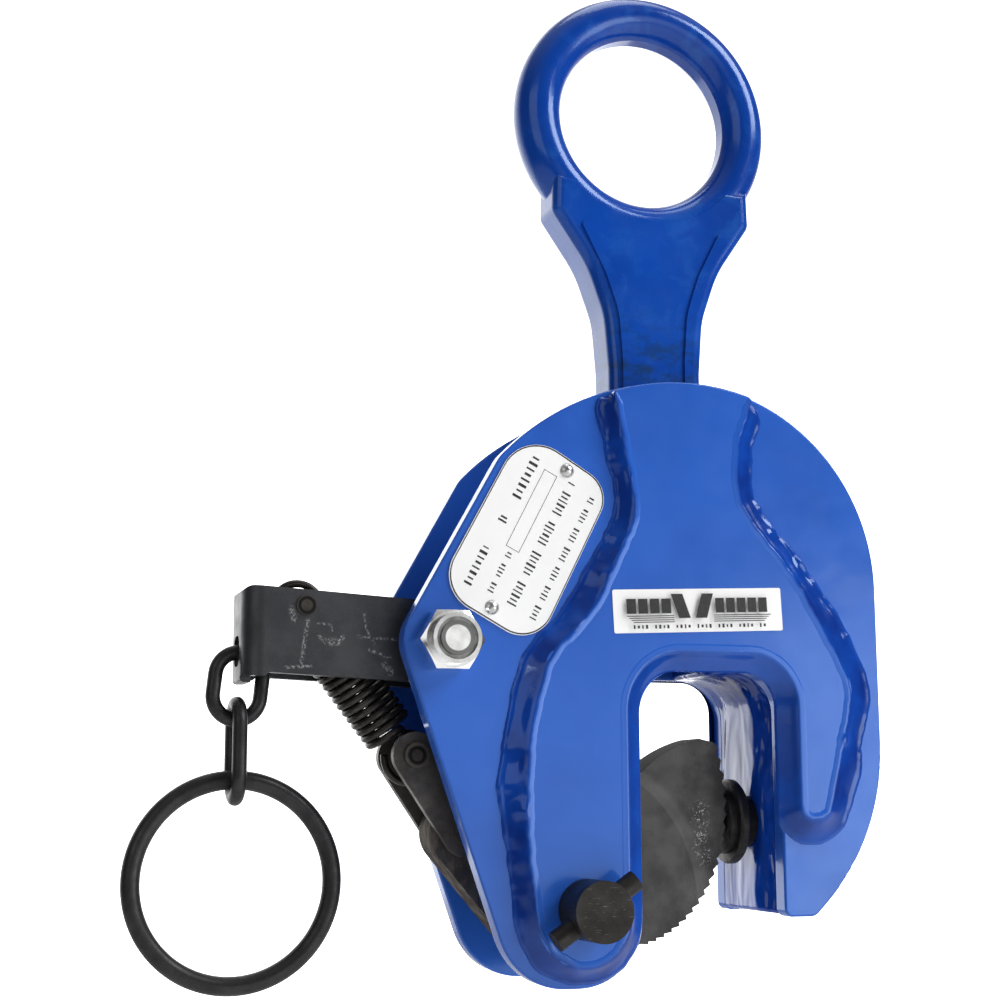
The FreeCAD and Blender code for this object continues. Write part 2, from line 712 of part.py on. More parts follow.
strap = doc.addObject("PartDesign::Body", "lever_strap_body")
outer_y = size("lever_half_width")
inner_y = outer_y - size("lever_thickness")
web_x = LEVER_LEFT + size("lever_thickness")
strap_edges = rounded([
    (-58.0, outer_y, 0), (LEVER_LEFT, outer_y, 6.2), (LEVER_LEFT, -outer_y, 6.2),
    (-58.0, -outer_y, 0), (-58.0, -inner_y, 0), (web_x, -inner_y, 3.0),
    (web_x, inner_y, 3.0), (-58.0, inner_y, 0),
])
strap_profile = sketch_on(strap, "lever_strap_profile", "XY_Plane", strap_edges, "-200")
strap_pad = strap.newObject("PartDesign::Pad", "lever_strap_pad")
strap_pad.Profile = strap_profile
strap_pad.Length = 50

web_hole = doc.addObject("PartDesign::Body", "web_hole_body")
web_profile = sketch_on(web_hole, "web_hole_profile", "YZ_Plane", rounded([
    (4.4, -174.5, 3.0), (-4.4, -174.5, 3.0), (-4.4, -183.6, 3.0), (4.4, -183.6, 3.0),
]), "-140")
web_pad = web_hole.newObject("PartDesign::Pad", "web_hole_pad")
web_pad.Profile = web_profile
web_pad.Length = 16

trim = []
for side, sign in SIDES:
    trim.append(slab(side + "_tab_trim", rounded([
        (-145.0, -186.5, 0), (-120.0, -187.0, 0), (-120.0, -195.0, 0), (-145.0, -195.0, 0),
    ]), "6.5" if sign > 0 else "-26.5", "20"))
keep(cut("lever", common("lever_bent", strap, lever_side), fuse("lever_space", web_hole, *trim)),
     "lock_lever")
keep(rod("spring_pin_rod", SPRING_PIN, "-dims.lever_half_width - 0.8",
         "dims.lever_half_width + 0.8", "dims.small_pin_radius"), "lever_spring_pin")


# ---------------------------------------------------------------- spring
along = Vector(TOGGLE_PIN[0] - SPRING_PIN[0], 0, TOGGLE_PIN[1] - SPRING_PIN[1])
span = along.Length
along.normalize()
coil_turn = Rotation(Vector(0, 0, 1), along)
upper_pin = Vector(SPRING_PIN[0], 0, SPRING_PIN[1])
lower_pin = Vector(TOGGLE_PIN[0], 0, TOGGLE_PIN[1])


def coil(label, radius, inset):
    """Cylinder along the spring axis, ending short of both pins by 7.6 mm plus inset."""
    tube = doc.addObject("Part::Cylinder", label)
    tube.Placement = Placement(upper_pin + along * (7.6 + inset), coil_turn)
    bind(tube, Radius=radius)
    tube.Height = span - 2 * (7.6 + inset)
    return tube


def end_loop(label, centre):
    loop = doc.addObject("Part::Torus", label)
    loop.Placement = Placement(centre, Rotation(Vector(1, 0, 0), 90))
    loop.Radius1 = 7.7
    bind(loop, Radius2="dims.wire_radius")
    return loop


spring_outer = coil("spring_outer", "dims.spring_radius", 0)
spring_inner = coil("spring_inner", "dims.spring_radius - 2 * dims.wire_radius", 2.4)
spring_tube = cut("spring_tube", spring_outer, spring_inner)
keep(fuse("spring", spring_tube, end_loop("upper_loop", upper_pin - along * 0.6),
          end_loop("lower_loop", lower_pin + along * 0.6)), "cam_spring")


# ---------------------------------------------------------------- chain and pull ring
def chain_link(label, centre, half_length, plane, turn):
    """Oval link: two straight wires and two half rings in the given plane."""
    wire = "dims.chain_wire_radius"
    bend = size("chain_half_width") - size("chain_wire_radius")
    straight = half_length - size("chain_half_width")
    pieces = []
    base = Placement(centre, turn)
    face_turn = Rotation(Vector(1, 0, 0), 90)
    if plane == "YZ":
        face_turn = Rotation(Vector(0, 1, 0), 90)
    for name, level, start in (("top", straight, 0), ("low", -straight, 180)):
        half_ring = doc.addObject("Part::Torus", f"{label}_{name}")
        spin_turn = Rotation(Vector(0, 0, 1), start)
        if plane == "YZ":
            spin_turn = Rotation(Vector(0, 0, 1), start + 90)
        half_ring.Placement = base * Placement(Vector(0, 0, level), face_turn * spin_turn)
        half_ring.Radius1 = bend
        half_ring.Angle3 = 180
        bind(half_ring, Radius2=wire)
        pieces.append(half_ring)
    for name, shift in (("near", bend), ("far", -bend)):
        leg = doc.addObject("Part::Cylinder", f"{label}_{name}")
        offset = Vector(shift, 0, -straight) if plane == "XZ" else Vector(0, shift, -straight)
        leg.Placement = base * Placement(offset, Rotation())
        leg.Height = 2 * straight
        bind(leg, Radius=wire)
        pieces.append(leg)
    return fuse(label, *pieces)


keep(chain_link("upper_link", Vector(-131.2, 0, -189.3), 12.2, "XZ",
                Rotation(Vector(0, 1, 0), 6)), "upper_chain_link")
keep(chain_link("lower_link", Vector(-131.4, 0, -208.35), 16.0, "YZ", Rotation()),
     "lower_chain_link")
pull_ring = doc.addObject("Part::Torus", "pull_ring_wire")
pull_ring.Placement = Placement(Vector(-131.6, 0, -246.2), Rotation(Vector(1, 0, 0), 90))
bind(pull_ring, Radius1="dims.pull_ring_mean_radius", Radius2="dims.pull_ring_wire_radius")
keep(pull_ring, "pull_ring")


# ---------------------------------------------------------------- check and write
doc.recompute()
for obj in doc.Objects:
    if "Invalid" in obj.State or "Error" in obj.State:
        raise RuntimeError(f"{obj.Name}: {obj.State}")
os.makedirs("parts", exist_ok=True)
for obj in PARTS:
    if obj.Shape.isNull() or not obj.Shape.isValid():
        raise RuntimeError(f"{obj.Label} has no valid shape")
    obj.Shape.exportStep(os.path.join("parts", obj.Label + ".step"))
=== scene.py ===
"""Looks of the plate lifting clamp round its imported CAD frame."""
import math

import bmesh
import bpy
from mathutils import Matrix, Vector, noise


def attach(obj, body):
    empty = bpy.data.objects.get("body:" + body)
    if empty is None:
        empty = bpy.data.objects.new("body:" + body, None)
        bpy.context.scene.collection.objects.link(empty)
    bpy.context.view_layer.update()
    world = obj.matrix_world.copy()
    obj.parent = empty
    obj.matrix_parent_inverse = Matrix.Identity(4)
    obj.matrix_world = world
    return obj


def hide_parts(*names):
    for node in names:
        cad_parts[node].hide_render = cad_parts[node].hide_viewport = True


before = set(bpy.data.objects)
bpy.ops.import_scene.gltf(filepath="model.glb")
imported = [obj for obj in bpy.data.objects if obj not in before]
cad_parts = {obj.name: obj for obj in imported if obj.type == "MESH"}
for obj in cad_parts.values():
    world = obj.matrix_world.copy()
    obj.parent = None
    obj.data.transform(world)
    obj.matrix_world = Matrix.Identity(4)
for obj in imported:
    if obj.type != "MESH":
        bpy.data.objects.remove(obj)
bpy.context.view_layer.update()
MM = 0.001

# Axes across the clamp, as (x, z) in millimetres.
CAM_PIN_AXIS = (-33.0, -254.4)
SPRING_PIN_AXIS = (-113.4, -166.1)
TOGGLE_PIN_AXIS = (-79.4, -209.7)
LEVER_BOLT_AXIS = (-74.3, -176.9)

# Distance of flat faces from the middle plane, in millimetres.
PLATE_FACE = 25.0
NAMEPLATE_RIM_FACE = 25.63
NAMEPLATE_PRINT_FACE = 25.64
LABEL_PRINT_FACE = 31.30


# ---------------------------------------------------------------- material helper
class Mat:
    """A principled material with small helpers for its procedural nodes.

    x, y and z are the object's own coordinates in metres, and facing is the Y part of its
    normal. Sizes that the helpers take are in millimetres.
    """

    def __init__(self, name, **sockets):
        self.material = bpy.data.materials.new(name)
        self.material.use_nodes = True
        tree = self.material.node_tree
        self.nodes = tree.nodes
        self.links = tree.links
        self.bsdf = self.nodes["Principled BSDF"]
        for key, value in sockets.items():
            socket = self.bsdf.inputs[key.replace("_", " ")]
            if isinstance(value, (tuple, list)) and len(value) == 3:
                value = (*value, 1.0)
            socket.default_value = value
        coords = self.nodes.new("ShaderNodeTexCoord")
        self.place = coords.outputs["Object"]
        split = self.nodes.new("ShaderNodeSeparateXYZ")
        self.links.new(self.place, split.inputs[0])
        self.x, self.y, self.z = split.outputs
        face = self.nodes.new("ShaderNodeSeparateXYZ")
        self.links.new(coords.outputs["Normal"], face.inputs[0])
        self.facing = face.outputs[1]

    def _put(self, socket, value):
        """Link an output to a socket, or set the socket to a number or a colour."""
        if isinstance(value, bpy.types.NodeSocket):
            self.links.new(value, socket)
        elif isinstance(value, (tuple, list)) and len(value) == 3 and socket.type == "RGBA":
            socket.default_value = (*value, 1.0)
        else:
            socket.default_value = value

    def noise(self, size, detail, rough, stretch=(1, 1, 1), distortion=0.0, shift=0.0):
        """Noise whose features are about `size` millimetres across."""
        mapping = self.nodes.new("ShaderNodeMapping")
        self.links.new(self.place, mapping.inputs["Vector"])
        mapping.inputs["Scale"].default_value = stretch
        mapping.inputs["Location"].default_value = (shift, shift * 0.7, -shift * 0.4)
        texture = self.nodes.new("ShaderNodeTexNoise")
        self.links.new(mapping.outputs[0], texture.inputs["Vector"])
        texture.inputs["Scale"].default_value = 1.0 / (size * MM)
        texture.inputs["Detail"].default_value = detail
        texture.inputs["Roughness"].default_value = rough
        texture.inputs["Distortion"].default_value = distortion
        return texture.outputs["Fac"]

    def cells(self, size):
        """Distance to the middle of the nearest of many cells `size` millimetres across."""
        texture = self.nodes.new("ShaderNodeTexVoronoi")
        self.links.new(self.place, texture.inputs["Vector"])
        texture.inputs["Scale"].default_value = 1.0 / (size * MM)
        return texture.outputs["Distance"]

    def math(self, operation, a, b=0.0, clamp=False):
        node = self.nodes.new("ShaderNodeMath")
        node.operation = operation
        node.use_clamp = clamp
        self._put(node.inputs[0], a)
        self._put(node.inputs[1], b)
        return node.outputs[0]

    def band(self, value, low, high, to_low=0.0, to_high=1.0):
        """Smooth step from `to_low` to `to_high` while a value goes from `low` to `high`."""
        node = self.nodes.new("ShaderNodeMapRange")
        node.interpolation_type = "SMOOTHSTEP"
        self._put(node.inputs["Value"], value)
        node.inputs["From Min"].default_value = low
        node.inputs["From Max"].default_value = high
        node.inputs["To Min"].default_value = to_low
        node.inputs["To Max"].default_value = to_high
        return node.outputs["Result"]

    def times(self, *values):
        result = values[0]
        for value in values[1:]:
            result = self.math("MULTIPLY", result, value)
        return result

    def mix(self, factor, a, b):
        node = self.nodes.new("ShaderNodeMix")
        node.data_type = "RGBA"
        self._put(node.inputs[0], factor)
        self._put(node.inputs[6], a)
        self._put(node.inputs[7], b)
        return node.outputs[2]

    def bump(self, height, depth, strength=1.0, normal=None):
        """Bump of `depth` millimetres for height 0 to 1."""
        node = self.nodes.new("ShaderNodeBump")
        node.inputs["Strength"].default_value = strength
        node.inputs["Distance"].default_value = depth * MM
        self.links.new(height, node.inputs["Height"])
        if normal is not None:
            self.links.new(normal, node.inputs["Normal"])
        return node.outputs[0]

    def finish(self, color, rough=None, normal=None):
        """Connect what was built and return the Blender material."""
        self._put(self.bsdf.inputs["Base Color"], color)
        if rough is not None:
            self._put(self.bsdf.inputs["Roughness"], rough)
        if normal is not None:
            self.links.new(normal, self.bsdf.inputs["Normal"])
        return self.material

    def finish_coated(self, color, rough, normal):
        """The same, with the relief in the clear coat too."""
        self.links.new(normal, self.bsdf.inputs["Coat Normal"])
        return self.finish(color, rough, normal)


# ---------------------------------------------------------------- paints and metals
BLUE = (0.0270, 0.124, 0.57)
SHACKLE_BLUE = (0.0042, 0.070, 0.44)
DEEP = (0.0020, 0.026, 0.22)
SHEEN = (0.55, 0.75, 1.0)


def shackle_grime_and_shade(m, base):
    """Painted shade up at the eye, pale clouds, pits, and dirt low on the shank."""
    # Painted shade: the paint turns darker towards the eye.
    base = m.mix(m.band(m.z, -0.050, -0.015, 0.0, 0.42), base, DEEP)
    cloud = m.band(m.noise(11, 4.0, 0.6, distortion=0.6, shift=6.0), 0.48, 0.66)
    base = m.mix(m.times(cloud, 0.30), base, (0.020, 0.125, 0.50))
    pits = m.band(m.noise(0.9, 2.0, 0.6, shift=8.0), 0.72, 0.78)
    base = m.mix(m.times(pits, 0.45), base, (0.002, 0.012, 0.06))
    low = m.band(m.z, -0.060, -0.088)
    dirt = m.band(m.noise(7, 5.0, 0.7, stretch=(1, 1, 2.2), shift=4.0), 0.42, 0.66)
    return m.mix(m.times(low, dirt, 0.75), base, (0.010, 0.045, 0.11))


def gloss_paint(name, color=BLUE, wave=0.5, wave_size=24, deep_amount=0.3, grime_and_shade=False):
    """Thick gloss paint: slow runs in the surface, fine peel, and slightly uneven cover."""
    m = Mat(name, Specular_Tint=SHEEN, Coat_Weight=0.12, Coat_Roughness=0.05, IOR=1.55)
    slow = m.noise(wave_size, 2.0, 0.4)
    peel = m.noise(1.8, 2.0, 0.5)
    tone = m.band(m.noise(38, 3.0, 0.5, shift=0.3), 0.38, 0.72)
    fleck = m.band(m.noise(1.3, 2.0, 0.6, shift=2.0), 0.74, 0.80)
    base = m.mix(m.math("MULTIPLY", tone, deep_amount), color, DEEP)
    base = m.mix(m.math("MULTIPLY", fleck, 0.25), base, DEEP)
    if grime_and_shade:
        base = shackle_grime_and_shade(m, base)
    rough = m.band(m.noise(9, 3.0, 0.6, shift=1.1), 0.3, 0.7, 0.13, 0.22)
    normal = m.bump(slow, wave, 0.6)
    normal = m.bump(peel, 0.010, 0.5, normal)
    return m.finish_coated(base, rough, normal)


def run_paint(name):
    """Painted shade of deeper blue on a weld's slopes, with small beads and runs that catch the
    light.
    """
    m = Mat(name, Specular_Tint=SHEEN, Coat_Weight=0.08, Coat_Roughness=0.03, IOR=1.55)
    painted_weld_shade = m.nodes.new("ShaderNodeAttribute")
    painted_weld_shade.attribute_name = "painted_weld_shade"
    tone = m.band(m.noise(16, 3.0, 0.5), 0.35, 0.7)
    deep = m.mix(tone, (0.0034, 0.056, 0.38), (0.0016, 0.024, 0.22))
    # Painted shade: deeper blue along the weld's slopes, by the value stored on each vertex.
    base = m.mix(m.band(painted_weld_shade.outputs["Fac"], 0.0, 1.0), BLUE, deep)
    slow = m.noise(16, 1.5, 0.4)
    drip = m.band(m.noise(3.4, 1.5, 0.5, shift=3.0), 0.62, 0.85)
    normal = m.bump(slow, 0.22, 0.4)
    normal = m.bump(drip, 0.06, 0.4, normal)
    return m.finish_coated(base, m.band(tone, 0, 1, 0.12, 0.19), normal)


def jaw_wall_paint(name):
    """Darker blue as painted shade on the inner wall, with relief pooling to the front plate and
    runs behind.
    """
    m = Mat(name, Specular_Tint=(0.8, 0.88, 1.0), Coat_Weight=0.35, Coat_Roughness=0.05)
    tone = m.band(m.noise(20, 3.0, 0.5), 0.35, 0.7)
    # Painted shade: the inner wall takes darker blues than the plates.
    base = m.mix(tone, (0.0035, 0.058, 0.42), (0.0018, 0.026, 0.22))
    wander = m.math("SUBTRACT", m.noise(18, 2.0, 0.6, stretch=(1, 1, 0.6), shift=1.7), 0.5)
    edge = m.math("ADD", m.y, m.times(wander, 0.016))
    pool = m.band(edge, -0.030, -0.002)
    runs = m.noise(15, 2.0, 0.5, stretch=(1, 1.2, 0.5), distortion=0.5)
    inside = m.band(m.x, 0.052, 0.042)
    normal = m.bump(m.times(pool, inside), 15.0, 1.0)
    normal = m.bump(m.times(runs, inside), 2.2, 0.6, normal)
    normal = m.bump(m.noise(24, 2.0, 0.4, shift=5.0), 0.4, 0.6, normal)
    return m.finish_coated(base, m.band(runs, 0.3, 0.7, 0.12, 0.24), normal)


def dark_steel(name, light, dark, rough=(0.38, 0.6), grain=0.05, size=5, metallic=0.75,
               marks=None):
    """Heat blackened forged steel with scale, pits and rubbed patches.

    `marks` takes the material, base and roughness, and returns the two with its marks added.
    """
    m = Mat(name, Metallic=metallic)
    patches = m.noise(size * 2.2, 5.0, 0.65)
    fine = m.noise(size * 0.16, 4.0, 0.7, shift=0.7)
    base = m.mix(m.band(patches, 0.32, 0.68), dark, light)
    base = m.mix(m.band(fine, 0.6, 0.8, 0.0, 0.35), base, tuple(c * 1.9 for c in light))
    roughness = m.band(patches, 0.3, 0.7, rough[1], rough[0])
    if marks:
        base, roughness = marks(m, base, roughness)
    pits = m.band(m.cells(size * 0.35), 0.05, 0.4)
    normal = m.bump(fine, grain, 0.8)
    normal = m.bump(pits, grain * 0.6, 0.35, normal)
    return m.finish(base, roughness, normal)


def from_axis(m, centre):
    """Distance in metres from an axis across the object at a point given in millimetres."""
    dx = m.math("SUBTRACT", m.x, centre[0] * MM)
    dz = m.math("SUBTRACT", m.z, centre[1] * MM)
    return m.math("SQRT", m.math("ADD", m.times(dx, dx), m.times(dz, dz)))


def near_line(m, start, end, width):
    """1 on a line between two points in millimetres, falling to 0 at `width` from it."""
    sx, sz = start[0] * MM, start[1] * MM
    ex, ez = end[0] * MM - sx, end[1] * MM - sz
    length = ex * ex + ez * ez
    dx = m.math("SUBTRACT", m.x, sx)
    dz = m.math("SUBTRACT", m.z, sz)
    along = m.math("ADD", m.times(dx, ex / length), m.times(dz, ez / length), clamp=True)
    gx = m.math("SUBTRACT", dx, m.times(along, ex))
    gz = m.math("SUBTRACT", dz, m.times(along, ez))
    gap = m.math("SQRT", m.math("ADD", m.times(gx, gx), m.times(gz, gz)))
    return m.band(gap, width * MM, 0.0)


# Scratches on the cheeks of the lever: start, end and width.
LEVER_SCRATCHES = [
    ((-113.0, -170.6), (-113.8, -176.5), 0.9), ((-113.8, -176.5), (-114.8, -183.0), 0.9),
    ((-109.6, -175.2), (-107.2, -176.8), 0.8), ((-107.2, -176.8), (-103.6, -176.6), 1.6),
    ((-103.6, -176.6), (-102.4, -175.2), 1.2), ((-97.6, -174.9), (-86.4, -175.6), 0.7),
    ((-96.0, -168.2), (-95.2, -173.0), 0.6), ((-95.2, -173.0), (-92.8, -177.0), 0.6),
    ((-94.2, -178.9), (-88.0, -181.0), 0.8), ((-89.6, -183.2), (-87.6, -185.4), 1.6),
    ((-118.0, -167.0), (-117.0, -170.4), 1.3), ((-109.9, -171.3), (-106.0, -171.6), 0.5),
    ((-106.0, -171.6), (-105.6, -173.4), 0.5), ((-119.2, -184.4), (-112.0, -184.0), 0.8),
]


def lever_marks(m, base, rough):
    """Dry scuffs on the cheeks of the lever, and pale dusty flecks."""
    scuff = m.band(m.noise(0.9, 4.0, 0.75, shift=5.0), 0.46, 0.62)
    total = None
    for start, end, width in LEVER_SCRATCHES:
        line = near_line(m, start, end, width)
        total = line if total is None else m.math("MAXIMUM", total, line)
    dust = m.band(m.noise(13, 4.0, 0.7, shift=9.0), 0.50, 0.78)
    fine = m.band(m.noise(0.5, 3.0, 0.7, shift=6.0), 0.52, 0.70)
    total = m.math("MAXIMUM", m.times(total, scuff, 0.8), m.times(dust, fine, 0.22))
    return m.mix(total, base, (0.50, 0.50, 0.50)), m.math("ADD", rough, m.times(total, 0.3))


def cam_marks(m, base, rough):
    """Painted light in a band inside the teeth, bright crumbs at the grip, brown painted shade on
    edges.
    """
    radius = from_axis(m, CAM_PIN_AXIS)
    # Painted light: a lighter ring inside the teeth stands in for the light on a machined bevel.
    band = m.times(m.band(radius, 0.0445, 0.0452), m.band(radius, 0.0500, 0.0475))
    base = m.mix(m.times(band, 0.35), base, (0.13, 0.13, 0.13))
    crumbs = m.band(m.noise(0.7, 4.0, 0.8, shift=2.5), 0.57, 0.66)
    place = near_line(m, (13.2, -226.0), (14.2, -240.5), 4.4)
    base = m.mix(m.times(crumbs, place), base, (0.72, 0.72, 0.70))
    # Painted shade: faces turned sideways from front and back are darkened, with a brown tint.
    edge = m.band(m.math("ABSOLUTE", m.facing), 0.75, 0.35)
    base = m.mix(m.times(edge, 0.9), base, (0.020, 0.013, 0.010))
    streaks = m.band(m.noise(3.0, 4.0, 0.7, stretch=(1, 1, 0.4), shift=7.0), 0.40, 0.65)
    horn = m.times(m.band(m.x, -0.046, -0.058), streaks)
    base = m.mix(m.times(horn, 0.7), base, (0.17, 0.145, 0.12))
    return base, m.math("MAXIMUM", rough, m.times(edge, 0.8))


def cap_marks(m, base, rough):
    """Bright rubbed rim of the pin's cap, and a few fine scratches on its face."""
    radius = from_axis(m, CAM_PIN_AXIS)
    wear = m.band(m.noise(2.0, 4.0, 0.7), 0.40, 0.66)
    rim = m.times(m.band(radius, 0.0108, 0.0118), wear)
    base = m.mix(m.times(rim, 0.6), base, (0.36, 0.33, 0.28))
    scratch = m.band(m.noise(0.45, 2.0, 0.6, stretch=(0.15, 1, 1.6), shift=1.5), 0.66, 0.72)
    return m.mix(m.times(scratch, 0.25), base, (0.40, 0.39, 0.36)), rough


def link_marks(m, base, rough):
    """Brown rubbed patches on the flat links."""
    rust = m.band(m.noise(5.0, 5.0, 0.7, shift=3.3), 0.50, 0.66)
    return m.mix(m.times(rust, 0.30), base, (0.14, 0.10, 0.075)), rough


def pin_marks(m, base, rough):
    """Pin ends with a dark ring round a turned centre, and a rubbed rim."""
    radius = m.math("MINIMUM", from_axis(m, SPRING_PIN_AXIS), from_axis(m, TOGGLE_PIN_AXIS))
    ring = m.times(m.band(radius, 0.0016, 0.0019), m.band(radius, 0.0028, 0.0025))
    base = m.mix(m.times(ring, 0.9), base, (0.005, 0.005, 0.005))
    rim = m.times(m.band(radius, 0.0029, 0.0031), 0.6)
    return m.mix(rim, base, (0.14, 0.125, 0.11)), rough


TURNING_PITCH = 0.35 * MM


def zinc_plate(name, light, rough, centre=None):
    """Bright plated steel, with turned rings and a painted shade ring round `centre` if it has
    one.
    """
    m = Mat(name, Metallic=1.0)
    blotch = m.noise(5, 4.0, 0.6)
    tint = (light * 0.82, light * 0.82, light * 0.80)
    base = m.mix(m.band(blotch, 0.35, 0.65), tint, (light, light, light))
    if centre:
        radius = from_axis(m, centre)
        turned = m.math("SINE", m.times(radius, 2 * math.pi / TURNING_PITCH))
        height = m.math("ADD", m.times(turned, 0.3), m.noise(1.2, 2.0, 0.5))
        # Painted shade: a dark ring on the rim of the bolt's end.
        front = m.band(m.y, 0.0, -0.010)
        edge = m.times(m.band(radius, 0.0036, 0.0039), m.band(radius, 0.0058, 0.0052), front, 0.9)
        base = m.mix(edge, base, (0.12, 0.12, 0.12))
    else:
        height = m.noise(1.5, 2.0, 0.6, stretch=(1, 1, 5))
    return m.finish(base, m.band(blotch, 0.3, 0.7, *rough), m.bump(height, 0.006, 0.35))


def nylon(name):
    """Grey plastic insert that shines a little."""
    m = Mat(name, Metallic=0.35)
    cloud = m.noise(2.5, 3.0, 0.5)
    base = m.mix(m.band(cloud, 0.35, 0.65), (0.24, 0.25, 0.24), (0.40, 0.41, 0.39))
    return m.finish(base, m.band(cloud, 0.3, 0.7, 0.28, 0.40), m.bump(cloud, 0.02, 0.4))


def printed_plate(name):
    """White enamelled plate or vinyl, faintly clouded."""
    m = Mat(name, Coat_Weight=0.3, Coat_Roughness=0.1)
    streak = m.noise(0.6, 2.0, 0.6, stretch=(1, 1, 0.05))
    cloud = m.noise(22, 3.0, 0.5)
    base = m.mix(m.band(cloud, 0.3, 0.7), (0.985,) * 3, (1.0,) * 3)
    return m.finish(base, m.band(streak, 0.3, 0.7, 0.30, 0.38), m.bump(streak, 0.0006, 0.25))


def ink(name):
    """Black printing, slightly worn; the same black draws the painted shadow round the nameplate.
    """
    m = Mat(name)
    cloud = m.noise(1.2, 3.0, 0.6)
    base = m.mix(m.band(cloud, 0.4, 0.8), (0.012,) * 3, (0.0288,) * 3)
    return m.finish(base, m.band(cloud, 0.3, 0.7, 0.35, 0.5), m.bump(cloud, 0.004, 0.3))


plate_paint = gloss_paint("plate_paint")
cover_paint = gloss_paint("cover_paint", wave=0.3, wave_size=32, deep_amount=0.18)
bead_paint = run_paint("bead_paint")
shackle_paint = gloss_paint("shackle_paint", color=SHACKLE_BLUE, wave_size=26,
                            deep_amount=0.45, grime_and_shade=True)
jaw_paint = jaw_wall_paint("jaw_paint")
cam_metal = dark_steel("cam_metal", (0.068, 0.066, 0.066), (0.052, 0.050, 0.050), size=6,
                       marks=cam_marks)
pad_metal = dark_steel("pad_metal", (0.05, 0.048, 0.046), (0.018, 0.018, 0.018), size=4)
pin_metal = dark_steel("pin_metal", (0.042, 0.039, 0.036), (0.024, 0.022, 0.021), size=4)
cap_metal = dark_steel("cap_metal", (0.036, 0.034, 0.031), (0.026, 0.024, 0.022), size=4,
                       marks=cap_marks)
eye_pin_metal = dark_steel("eye_pin_metal", (0.07, 0.062, 0.055), (0.03, 0.027, 0.025), size=4,
                           marks=pin_marks)
lever_metal = dark_steel("lever_metal", (0.075, 0.077, 0.084), (0.045, 0.047, 0.052),
                         rough=(0.34, 0.5), size=7, grain=0.02, marks=lever_marks)
link_metal = dark_steel("link_metal", (0.115, 0.108, 0.100), (0.065, 0.061, 0.058), size=4,
                        marks=link_marks)
spring_metal = dark_steel("spring_metal", (0.055, 0.050, 0.046), (0.020, 0.018, 0.017),
                          rough=(0.26, 0.40), size=2.5, grain=0.01)
chain_metal = dark_steel("chain_metal", (0.028, 0.028, 0.030), (0.012, 0.012, 0.013),
                         rough=(0.32, 0.48), size=3, grain=0.02, metallic=0.4)
zinc = zinc_plate("zinc", 1.0, (0.15, 0.24))
bolt_end = zinc_plate("bolt_end", 1.0, (0.34, 0.42), centre=LEVER_BOLT_AXIS)
rivet_metal = zinc_plate("rivet_metal", 0.62, (0.22, 0.36))
insert = nylon("nylon")
name_metal = printed_plate("name_metal")
label_white = printed_plate("label_white")
print_and_shadow_black = ink("print_and_shadow_black")

NODE_LOOKS = {
    "front_side_plate": plate_paint, "rear_side_plate": plate_paint,
    "front_reinforcing_plate": cover_paint, "rear_reinforcing_plate": cover_paint,
    "front_weld_beads": bead_paint, "rear_weld_beads": bead_paint,
    "jaw_block": jaw_paint, "lifting_shackle": shackle_paint,
    "toothed_cam": cam_metal, "swivel_pad": pad_metal,
    "cam_pin": cap_metal, "cam_cross_pin": pin_metal, "cam_pin_retaining_ring": pin_metal,
    "shackle_pin": pin_metal, "pad_retaining_pin": pin_metal, "cam_link_pin": pin_metal,
    "front_lever_spacer": pin_metal, "rear_lever_spacer": pin_metal,
    "centre_spacer_sleeve": pin_metal, "lever_spring_pin": eye_pin_metal,
    "lock_lever": lever_metal, "cam_spring": spring_metal,
    "toggle_lower_pin": link_metal, "toggle_upper_pin": eye_pin_metal,
    "front_toggle_link": link_metal, "rear_toggle_link": link_metal,
    "front_shackle_link": link_metal, "rear_shackle_link": link_metal,
    "upper_chain_link": chain_metal, "lower_chain_link": chain_metal, "pull_ring": chain_metal,
    "lever_bolt": bolt_end, "lever_nut": zinc, "nut_insert": insert,
    "nameplate": name_metal, "nameplate_rivets": rivet_metal, "front_label": label_white,
}
for node, look in NODE_LOOKS.items():
    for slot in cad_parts[node].material_slots:
        slot.material = look


# ---------------------------------------------------------------- mesh helper
def add_piece(name, verts, faces, look, body, stands_for=(), smooth=True):
    """A mesh in millimetres of the row frame, riding on a body."""
    mesh = bpy.data.meshes.new(name)
    mesh.from_pydata([Vector(v) * MM for v in verts], [], faces)
    mesh.validate()
    bm = bmesh.new()
    bm.from_mesh(mesh)
    bmesh.ops.recalc_face_normals(bm, faces=bm.faces)
    bm.to_mesh(mesh)
    bm.free()
    for polygon in mesh.polygons:
        polygon.use_smooth = smooth
    mesh.materials.append(look)
    piece = bpy.data.objects.new(name, mesh)
    bpy.context.scene.collection.objects.link(piece)
    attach(piece, body)
    if stands_for:
        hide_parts(*stands_for)
    return piece


def tube_along(points, radius, sides):
    """Vertices and faces of a round wire along a list of points, closed at both ends."""
    count = len(points)
    tangents = [(points[min(i + 1, count - 1)] - points[max(i - 1, 0)]).normalized()
                for i in range(count)]
    up = Vector((0, 1, 0)) if abs(tangents[0].y) < 0.9 else Vector((1, 0, 0))
    side = tangents[0].cross(up).normalized()
    verts = []
    for point, tangent in zip(points, tangents):
        side = (side - tangent * side.dot(tangent)).normalized()
        other = tangent.cross(side)
        for k in range(sides):
            angle = 2 * math.pi * k / sides
            verts.append(point + (side * math.cos(angle) + other * math.sin(angle)) * radius)
    faces = []
    for i in range(count - 1):
        a = i * sides
        b = a + sides
        for k in range(sides):
            n = (k + 1) % sides
            faces.append((a + k, a + n, b + n, b + k))
    faces.append(tuple(range(sides))[::-1])
    faces.append(tuple((count - 1) * sides + k for k in range(sides)))
    return verts, faces


